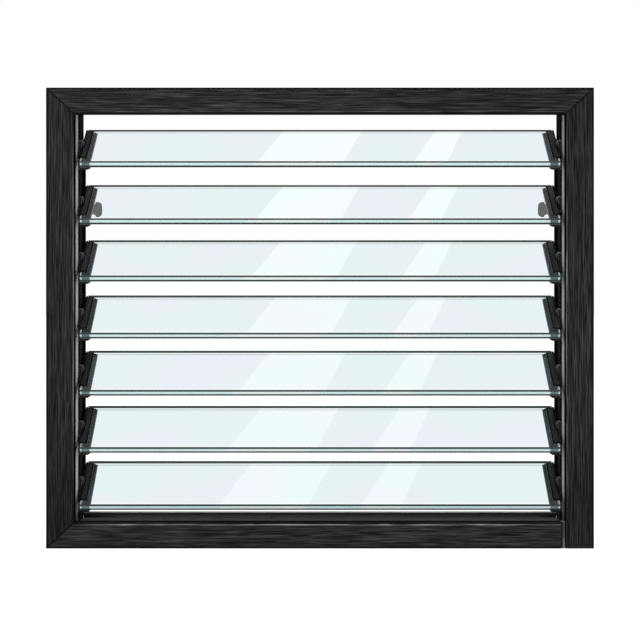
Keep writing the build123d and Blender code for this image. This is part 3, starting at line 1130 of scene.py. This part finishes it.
def edit(piece: bpy.types.Object, mode: str = "FACE") -> None:
    """Open a piece in edit mode with everything in it selected.

    Args:
        piece: the object to edit.
        mode: VERT, EDGE or FACE.
    """
    make_active(piece)
    bpy.ops.object.mode_set(mode="EDIT")
    bpy.ops.mesh.select_mode(type=mode)
    bpy.ops.mesh.select_all(action="SELECT")


def pick_faces(piece: bpy.types.Object, wanted: Callable[[Vector, Vector], bool]) -> None:
    """Select the faces of a piece in edit mode by their centre and normal.

    Args:
        piece: the object in edit mode.
        wanted: says yes to a centre and a normal.
    """
    bpy.ops.mesh.select_all(action="DESELECT")
    bpy.ops.object.mode_set(mode="OBJECT")
    for polygon in piece.data.polygons:
        polygon.select = wanted(polygon.center, polygon.normal)
    bpy.ops.object.mode_set(mode="EDIT")


def pick_edges(piece: bpy.types.Object, wanted: Callable[[Vector, Vector], bool]) -> None:
    """Select the edges of a piece in edit mode by their two ends.

    Args:
        piece: the object in edit mode.
        wanted: says yes to a pair of ends.
    """
    bpy.ops.mesh.select_mode(type="EDGE")
    bpy.ops.mesh.select_all(action="DESELECT")
    bpy.ops.object.mode_set(mode="OBJECT")
    points = [vertex.co for vertex in piece.data.vertices]
    for line in piece.data.edges:
        line.select = wanted(points[line.vertices[0]], points[line.vertices[1]])
    bpy.ops.object.mode_set(mode="EDIT")


def close_edit() -> None:
    """Go back to object mode."""
    bpy.ops.object.mode_set(mode="OBJECT")


def settle(piece: bpy.types.Object) -> bpy.types.Object:
    """Move a piece's place, turn and scale into its mesh.

    Args:
        piece: the piece.

    Returns:
        The same piece.
    """
    make_active(piece)
    bpy.ops.object.transform_apply(location=True, rotation=True, scale=True)
    return piece


def paint(piece: bpy.types.Object, *materials: bpy.types.Material) -> None:
    """Give a piece its materials.

    Args:
        piece: the piece.
        materials: the materials, in the order of its slots.
    """
    piece.data.materials.clear()
    for material in materials:
        piece.data.materials.append(material)


def smooth(piece: bpy.types.Object) -> None:
    """Shade a piece smooth, but sharp where its faces turn by a wide angle.

    Args:
        piece: the piece.
    """
    make_active(piece)
    bpy.ops.object.shade_smooth_by_angle(angle=SHARP_ANGLE)
    flatten = piece.modifiers.new("large_faces_flat", "WEIGHTED_NORMAL")
    flatten.keep_sharp = True
    bpy.ops.object.modifier_apply(modifier=flatten.name)


def round_edges(piece: bpy.types.Object, width: float, segments: int) -> None:
    """Round a piece's sharp edges with a bevel modifier that is then applied.

    Args:
        piece: the object.
        width: width of the rounding, in metres.
        segments: steps across it.
    """
    make_active(piece)
    bevel = piece.modifiers.new("rounding", "BEVEL")
    bevel.width = width
    bevel.segments = segments
    bevel.limit_method = "ANGLE"
    bevel.angle_limit = SHARP_ANGLE
    bevel.use_clamp_overlap = False
    bevel.harden_normals = False
    bpy.ops.object.modifier_apply(modifier=bevel.name)


def copy_with_mesh(source: bpy.types.Object, name: str) -> bpy.types.Object:
    """A free copy of an object with its own mesh.

    Args:
        source: the object to copy.
        name: the copy's name.

    Returns:
        The copy, which rides on nothing yet.
    """
    copy = bpy.data.objects.new(name, source.data.copy())
    copy.data.name = name
    bpy.context.scene.collection.objects.link(copy)
    return copy


def dressed_node(
    node: str, name: str, material: bpy.types.Material, rounding: float, segments: int = 2
) -> bpy.types.Object:
    """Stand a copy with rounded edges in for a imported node.

    Args:
        node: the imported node.
        name: the new piece's name.
        material: its finish.
        rounding: width of the rounding, in metres.
        segments: steps across the rounding.

    Returns:
        The new piece, riding on the node's body.
    """
    source = frame["nodes"][node]
    piece = copy_with_mesh(source, name)
    edit(piece, "VERT")
    bpy.ops.mesh.remove_doubles(threshold=WELD_DISTANCE)
    bpy.ops.mesh.dissolve_limited(angle_limit=FLAT_ANGLE)
    close_edit()
    round_edges(piece, rounding, segments)
    paint(piece, material)
    smooth(piece)
    # The glass mirrors the studio alone, as in the photograph.
    piece.visible_glossy = False
    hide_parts(node)
    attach(piece, source["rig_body"])
    return piece


# Sub-assemblies


@dataclass
class WindowFrame:
    """The woodgrain frame with its corner filler, end cap, sill tray and seal."""

    palette: Palette
    edge_rounding: float = 0.5 * MM
    trim_rounding: float = 0.25 * MM
    upstand_reach: float = 3.5 * MM

    def build(self) -> list[bpy.types.Object]:
        """Dress every fixed piece of the frame.

        Returns:
            The pieces.
        """
        palette = self.palette
        jobs = (
            ("head_rail", palette.foil_across, "frame_foil", self.edge_rounding),
            ("sill_rail", palette.foil_across, "frame_foil", self.edge_rounding),
            ("left_jamb", palette.foil_upright, "frame_foil", self.edge_rounding),
            ("right_jamb", palette.foil_upright, "frame_foil", self.edge_rounding),
            ("sill_tray", palette.tray, "frame_foil", self.trim_rounding),
            ("sill_seal", palette.seal, "grey_rubber", self.trim_rounding),
            ("corner_filler", palette.filler, "grey_strip", self.trim_rounding),
            ("jamb_end_cap", palette.clip, "clip_plastic", self.trim_rounding),
        )
        pieces = []
        for node, material, slot, rounding in jobs:
            piece = dressed_node(node, f"{node}_finished", material, rounding)
            pieces.append(piece)
            if node == "sill_tray":
                self.lighten_upstand(piece)
        return pieces

    def lighten_upstand(self, tray: bpy.types.Object) -> None:
        """Give the raised back edge its lighter coating of painted light and close it against the
        channels.

        Args:
            tray: the finished sill tray.
        """
        floor_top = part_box("sill_seal")[0].z - self.upstand_reach
        wall_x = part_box("right_channel")[0].x
        for vertex in tray.data.vertices:
            if vertex.co.z > floor_top and wall_x - abs(vertex.co.x) < MM:
                vertex.co.x = math.copysign(wall_x, vertex.co.x)
        tray.data.materials.append(self.palette.upstand_lit)
        for face in tray.data.polygons:
            if face.center.z > floor_top:
                face.material_index = 1


@dataclass
class Gallery:
    """One side's channel, cover strip and tie bar."""

    palette: Palette
    side: Side
    rounding: float = 0.25 * MM

    def build(self) -> list[bpy.types.Object]:
        """Dress the channel, the cover strip and the tie bar.

        Returns:
            The pieces.
        """
        jobs = (
            ("channel", self.palette.channel, "black_metal"),
            ("cover_strip", self.palette.strip, "grey_strip"),
            ("tie_bar", self.palette.tie_bar, "black_metal"),
        )
        pieces = []
        for part, material, slot in jobs:
            node = f"{self.side.value}_{part}"
            piece = dressed_node(node, f"{node}_finished", material, self.rounding)
            pieces.append(piece)
        return pieces


@dataclass
class Blade:
    """One glass blade with the clips at its ends."""

    palette: Palette
    number: int
    master: bpy.types.Object
    clip_rounding: float = 0.35 * MM
    # Width of the painted shade rim round the front lip.
    lip_shade_rim: float = 1.9 * MM
    lip_level: float = 7.5 * MM
    lip_margin: float = 0.1 * MM
    lip_facing: float = 0.995

    def build(self) -> list[bpy.types.Object]:
        """Place the glass at the blade's pivot and dress the clips.

        Returns:
            The glass and the two clips.
        """
        body = f"blade_{self.number}"
        node = f"{body}_glass"
        low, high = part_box(node)
        glass = copy_with_mesh(self.master, f"{body}_glass_finished")
        glass.data.transform(Matrix.Translation((low + high) / 2))
        # Lamps light the clips through the glass, and no blade mirrors another.
        glass.visible_shadow = False
        glass.visible_glossy = False
        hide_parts(node)
        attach(glass, body)
        pieces = [glass]
        for side in Side:
            clip_node = f"{body}_{side.value}_clip"
            clip = dressed_node(
                clip_node, f"{clip_node}_finished", self.palette.clip, self.clip_rounding
            )
            self.shade_lip_rim(clip, (low + high) / 2)
            pieces.append(clip)
        return pieces

    def shade_lip_rim(self, clip: bpy.types.Object, pivot: Vector) -> None:
        """Paint a dark rim of shade round the front lip's flat face.

        Args:
            clip: the finished clip.
            pivot: the middle of the blade.
        """
        outwards = Vector((0, -math.cos(TILT), math.sin(TILT)))
        clip.data.materials.append(self.palette.lip_shade_rim)

        def on_lip(centre: Vector, normal: Vector) -> bool:
            """Whether a face lies in the flat of the front lip."""
            off_level = abs((centre - pivot).dot(outwards) - self.lip_level)
            return normal.dot(outwards) > self.lip_facing and off_level < self.lip_margin

        edit(clip)
        pick_faces(clip, on_lip)
        self.repaint_picked(clip, 1)
        bpy.ops.mesh.inset(thickness=self.lip_shade_rim, use_boundary=True, use_even_offset=True)
        self.repaint_picked(clip, 0)
        close_edit()

    @staticmethod
    def repaint_picked(piece: bpy.types.Object, slot: int) -> None:
        """Give the selected faces of a piece in edit mode another material.

        Args:
            piece: the object in edit mode.
            slot: the index of the material slot.
        """
        close_edit()
        for face in piece.data.polygons:
            if face.select:
                face.material_index = slot
        bpy.ops.object.mode_set(mode="EDIT")


@dataclass
class GlassMaster:
    """The pattern from which every glass blade is copied: a plate with ground edges, and bands of
    painted highlight and shade near them.
    """

    palette: Palette
    width: float = 102.0 * MM
    thickness: float = 10.0 * MM
    arris: float = 1.0 * MM
    # Widths of the painted bands: dark ones as shade, clear ones as highlights, the pale line as
    # shade.
    top_dark: float = 6.0 * MM
    top_clear: float = 2.2 * MM
    top_pale: float = 3.4 * MM
    foot_dark: float = 2.4 * MM
    foot_clear: float = 3.5 * MM
    foot_strip: float = 3.3 * MM
    # The last stretch at each glass end keeps the light finishes, as a painted highlight.
    end_highlight: float = 2.4 * MM

    def build(self) -> bpy.types.Object:
        """Model one leaning blade about its own centre.

        Returns:
            The pattern, which is deleted once it has been copied.
        """
        low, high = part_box("blade_1_glass")
        length = high.x - low.x
        clip_inner_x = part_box("blade_1_right_clip")[0].x
        bpy.ops.mesh.primitive_cube_add(size=1.0, scale=(length, self.thickness, self.width))
        plate = settle(bpy.context.object)
        plate.name = "glass_pattern"
        edit(plate, "EDGE")
        pick_edges(plate, lambda a, b: abs(a.x - b.x) > length / 2)
        bpy.ops.mesh.bevel(offset=self.arris, segments=1, affect="EDGES")
        for height in self.band_heights():
            self.cut(Vector((0, 0, height)), Vector((0, 0, 1)))
        self.cut(Vector((0, self.back_line(), 0)), Vector((0, 1, 0)))
        end_x = length / 2 - self.end_highlight
        for side in (-1, 1):
            self.cut(Vector((side * clip_inner_x, 0, 0)), Vector((1, 0, 0)))
            self.cut(Vector((side * end_x, 0, 0)), Vector((1, 0, 0)))
        close_edit()
        palette = self.palette
        paint(
            plate,
            palette.glass,
            palette.clear_highlight,
            palette.pale_shade_line,
            palette.ground,
            palette.ground_shade_over_clip,
            palette.arris,
            palette.glass_over_clip,
        )
        for face in plate.data.polygons:
            # Over the clips the darker painted finishes apply, save the painted highlight at the
            # very end.
            beyond_clip = clip_inner_x < abs(face.center.x) < end_x
            face.material_index = self.region(face.center, face.normal, beyond_clip).value
        plate.data.transform(Matrix.Rotation(-TILT, 4, "X"))
        return plate

    def band_heights(self) -> list[float]:
        """Heights on the upright plate at which one finish gives way to the next.

        Returns:
            The heights of the dark, clear and pale bands below the top, then of the dark
            and clear bands above the foot. The dark and pale bands are painted shade, the clear
            ones painted highlights.
        """
        half = self.width / 2
        top = half - self.arris
        foot = self.arris - half
        return [
            top - self.top_dark,
            top - self.top_dark - self.top_clear,
            top - self.top_dark - self.top_clear - self.top_pale,
            foot + self.foot_dark,
            foot + self.foot_dark + self.foot_clear,
        ]

    def back_line(self) -> float:
        """Depth on the upright plate at which the dark strip of painted shade under the foot
        begins.
        """
        return self.thickness / 2 - self.arris - self.foot_strip

    @staticmethod
    def cut(point: Vector, normal: Vector) -> None:
        """Cut new edges across the whole plate in edit mode, along a plane."""
        bpy.ops.mesh.select_all(action="SELECT")
        bpy.ops.mesh.bisect(plane_co=point, plane_no=normal)

    def region(self, centre: Vector, normal: Vector, beyond_clip: bool) -> Band:
        """Which finish a face of the upright plate takes.

        Args:
            centre: the face's centre.
            normal: its normal.
            beyond_clip: whether the face lies over a clip.

        Returns:
            The finish.
        """
        if normal.y < -FACING:
            return self.front_region(centre.z, beyond_clip)
        if normal.y > FACING:
            return Band.OVER_CLIP if beyond_clip else Band.GLASS
        if normal.z > FACING:
            return Band.CLEAR
        if abs(normal.y) > SLANTED:
            return Band.ARRIS if normal.z < 0 or normal.y < 0 else Band.CLEAR
        if normal.z < -FACING:
            if centre.y > self.back_line():
                return Band.ARRIS
            return Band.GROUND_END if beyond_clip else Band.GROUND
        return Band.GROUND

    def front_region(self, height: float, beyond_clip: bool) -> Band:
        """Which finish a face on the front of the upright plate takes.

        Args:
            height: the height of the face's centre.
            beyond_clip: whether the face lies over a clip.

        Returns:
            The finish.
        """
        dark_top, clear_top, pale_top, dark_foot, clear_foot = self.band_heights()
        if height > dark_top or height < dark_foot:
            return Band.ARRIS
        if beyond_clip:
            return Band.OVER_CLIP
        if height > clear_top or height < clear_foot:
            return Band.CLEAR
        return Band.PALE if height > pale_top else Band.GLASS


@dataclass
class Knob:
    """A mushroom knob behind the second blade."""

    palette: Palette
    side: Side
    rounding: float = 0.5 * MM
    steps: int = 3

    def build(self) -> list[bpy.types.Object]:
        """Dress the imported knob.

        Returns:
            The knob, as a list of one piece.
        """
        node = f"{self.side.value}_knob"
        piece = dressed_node(
            node, f"{node}_finished", self.palette.knob, self.rounding, self.steps
        )
        return [piece]


# Studio


@dataclass(frozen=True)
class StripCard:
    """A bright strip above the window that the blades mirror as a diagonal streak.

    Its edges run aslant: each has an X at the depth of the window's middle and a
    slope of X against depth.
    """

    name: str
    left: float
    left_slope: float
    right: float
    right_slope: float

    def corners(self, near: float, far: float, height: float) -> list[Point]:
        """Corners of the strip between two depths.

        Args:
            near: depth of its front edge.
            far: depth of its back edge.
            height: its height.

        Returns:
            The four corners.
        """
        return [
            (self.left + self.left_slope * near, near, height),
            (self.right + self.right_slope * near, near, height),
            (self.right + self.right_slope * far, far, height),
            (self.left + self.left_slope * far, far, height),
        ]


WIDE_CARD = StripCard("wide_card", -0.410, 0.778, -0.129, 0.531)
NARROW_CARD = StripCard("narrow_card", -0.020, 0.672, 0.120, 0.484)


@dataclass(frozen=True)
class SoftBox:
    """A square lamp that shines on the middle of the window."""

    name: str
    place: Point
    watts: float
    size: float = 1.6

    def build(self, target: Point) -> None:
        """Hang the lamp and aim it.

        Args:
            target: the point it shines on.
        """
        light = bpy.data.lights.new(self.name, "AREA")
        light.shape = "SQUARE"
        light.size = self.size
        light.energy = self.watts
        lamp = bpy.data.objects.new(self.name, light)
        lamp.location = self.place
        aim = Vector(target) - Vector(self.place)
        lamp.rotation_euler = aim.to_track_quat("-Z", "Y").to_euler()
        lamp.visible_camera = False
        bpy.context.scene.collection.objects.link(lamp)


FRONT_LAMP = SoftBox("front_softbox", (-1.2, -2.2, 2.2), 22.0)
BACK_LAMP = SoftBox("back_softbox", (1.3, 2.2, 2.0), 12.0)


@dataclass
class Studio:
    """Floor, world, lamps, reflection cards and camera."""

    picture: float = 640.0
    frame_left_px: float = 45.7
    frame_right_px: float = 593.9
    frame_top_px: float = 87.6
    frame_bottom_px: float = 548.5
    distance: float = 2.15
    eye_raise: float = 0.055
    sensor: float = 36.0
    view_end: float = 100.0
    lamp_target: Point = (0.0, 0.0, 0.35)
    sky: Stops = ((0.0, 0.60), (0.42, 0.98), (0.70, 0.98), (0.85, 0.88), (1.0, 0.85))
    floor_size: float = 30.0
    floor_grey: float = 0.78
    floor_glow: float = 0.62
    floor_through_glass: float = 0.98
    card_height: float = 1.50
    card_near: float = 0.10
    card_far: float = 0.58
    card_strength: float = 2.1

    def build(self) -> None:
        """Set up everything around the window."""
        self.make_world()
        self.make_floor()
        self.make_cards()
        for lamp in (FRONT_LAMP, BACK_LAMP):
            lamp.build(self.lamp_target)
        self.make_camera()

    def make_world(self) -> None:
        """White behind the window, and a softer light from above."""
        world = bpy.data.worlds.new("studio")
        tree = NodeTree(world, "ShaderNodeOutputWorld")
        direction = tree.add("ShaderNodeTexCoord").outputs["Generated"]
        height = tree.remap(tree.component(direction, Axis.Z), 0.0, 1.0, start=-1.0)
        light = tree.add("ShaderNodeBackground", {"Color": tree.levels(height, self.sky)})
        white = tree.add("ShaderNodeBackground", {"Color": WHITE})
        tree.show(tree.by_ray(Ray.CAMERA, light, white))
        bpy.context.scene.world = world

    def make_floor(self) -> None:
        """A pale floor that renders white and keeps a faint shadow of the window."""
        bpy.ops.mesh.primitive_plane_add(size=self.floor_size, location=(0, 0, 0))
        floor = bpy.context.object
        floor.name = "studio_floor"
        material = bpy.data.materials.new("floor_paper")
        tree = NodeTree(material)
        paper = tree.add("ShaderNodeBsdfDiffuse", {"Color": (self.floor_grey,) * 3})
        seen = tree.math("MULTIPLY", tree.ray(Ray.CAMERA), self.floor_glow)
        surfaces = {0: paper.outputs[0], 1: tree.glow(seen).outputs[0]}
        both = tree.add("ShaderNodeAddShader", surfaces)
        through = tree.glow(self.floor_through_glass)
        tree.show(tree.by_ray(Ray.TRANSMISSION, both, through))
        paint(floor, material)

    def make_cards(self) -> None:
        """Two bright strips high above the window, seen only as reflections in the glass."""
        for strip in (WIDE_CARD, NARROW_CARD):
            corners = strip.corners(self.card_near, self.card_far, self.card_height)
            mesh = bpy.data.meshes.new(strip.name)
            mesh.from_pydata(corners, [], [(0, 1, 2, 3)])
            card = bpy.data.objects.new(strip.name, mesh)
            bpy.context.scene.collection.objects.link(card)
            material = bpy.data.materials.new(strip.name)
            tree = NodeTree(material)
            tree.show(tree.glow(self.card_strength))
            paint(card, material)
            card.visible_camera = False
            card.visible_diffuse = False
            card.visible_shadow = False

    def make_camera(self) -> None:
        """A level camera in front, framed as the photograph."""
        low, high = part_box("left_jamb")[0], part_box("right_jamb")[1]
        metres_per_px = (high.x - low.x) / (self.frame_right_px - self.frame_left_px)
        middle_px = (self.frame_top_px + self.frame_bottom_px) / 2
        eye_height = (low.z + high.z) / 2 + (middle_px - self.picture / 2) * metres_per_px
        picture_width = self.picture * metres_per_px
        camera = bpy.data.cameras.new("camera")
        camera.sensor_width = self.sensor
        camera.lens = self.sensor * self.distance / picture_width
        camera.shift_y = -self.eye_raise / picture_width
        camera.clip_end = self.view_end
        eye = bpy.data.objects.new("camera", camera)
        eye.location = (0.0, low.y - self.distance, eye_height + self.eye_raise)
        eye.rotation_euler = (math.radians(90.0), 0.0, 0.0)
        bpy.context.scene.collection.objects.link(eye)
        bpy.context.scene.camera = eye


def report(pieces: Iterable[bpy.types.Object]) -> None:
    """Log each finished piece with its number of faces.

    Args:
        pieces: the pieces.
    """
    for piece in pieces:
        log.info("%s: %d faces", piece.name, len(piece.data.polygons))


def main() -> None:
    """Build the window piece by piece, then the studio around it."""
    logging.basicConfig(level=logging.INFO, format="%(name)s %(message)s")
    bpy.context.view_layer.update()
    deselect_all()
    palette = Palette.mixed()
    report(WindowFrame(palette).build())
    for side in Side:
        report(Gallery(palette, side).build())
        report(Knob(palette, side).build())
    pattern = GlassMaster(palette).build()
    for number in BLADES:
        report(Blade(palette, number, pattern).build())
    bpy.data.objects.remove(pattern)
    Studio().build()
    bpy.context.scene.view_settings.view_transform = "Standard"
    deselect_all()


if __name__ == "__main__":
    main()
